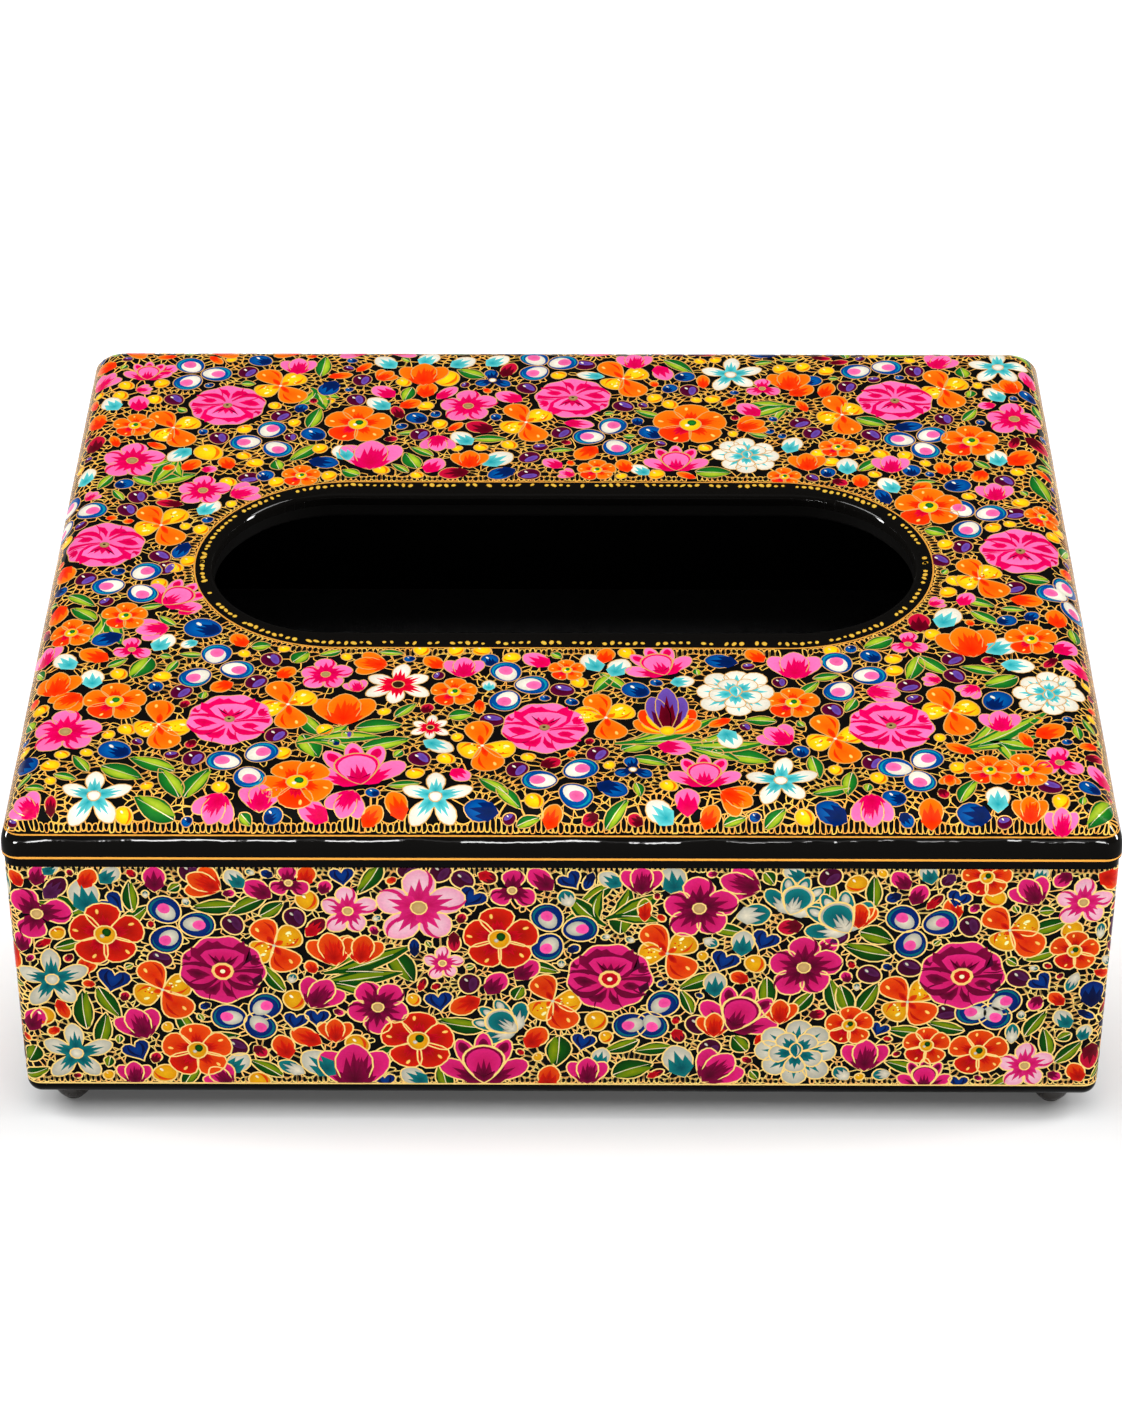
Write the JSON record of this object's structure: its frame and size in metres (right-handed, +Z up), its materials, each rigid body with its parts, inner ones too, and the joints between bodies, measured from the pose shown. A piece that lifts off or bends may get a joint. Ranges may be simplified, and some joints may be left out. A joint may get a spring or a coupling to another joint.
{
  "type": "painted papier mache tissue box",
  "caption": "Rectangular lacquered tissue box with a hinged, round-shouldered lid, a long rounded slot, ball feet and painted flowers.",
  "frame": {"origin": "on the table under the middle of the lid, at the underside of the feet", "axes": "+X to the right along the length, +Y to the hinged back, +Z up"},
  "size_m": [0.25, 0.2111, 0.0886],
  "materials": {
    "lacquered_pulp": "black ground with painted flowers under clear gloss lacquer",
    "pulp_board": "painted black, satin",
    "black_felt": "short felt",
    "black_wood": "turned, black lacquer",
    "brass": "satin",
    "steel": "plated"
  },
  "bodies": {
    "body": {"body_shell": "lacquered_pulp", "base_panel": "pulp_board", "floor_felt": "black_felt", "front_lip_strip": "black_wood", "left_lip_strip": "black_wood", "right_lip_strip": "black_wood", "front_left_foot": "black_wood", "front_right_foot": "black_wood", "back_left_foot": "black_wood", "back_right_foot": "black_wood", "foot_screws": "steel", "left_hinge_body_leaf": "brass", "right_hinge_body_leaf": "brass", "left_hinge_pin": "brass", "right_hinge_pin": "brass", "left_hinge_body_screws": "brass", "right_hinge_body_screws": "brass"},
    "lid": {"lid_shell": "lacquered_pulp", "left_hinge_lid_leaf": "brass", "right_hinge_lid_leaf": "brass", "left_hinge_lid_screws": "brass", "right_hinge_lid_screws": "brass"}
  },
  "joints": [
    {"name": "lid_hinge", "type": "hinge", "parent": "body", "child": "lid", "pos_m": [0, 0.10465, 0.07655], "axis": [-1, 0, 0], "range_deg": [0, 110]}
  ]
}
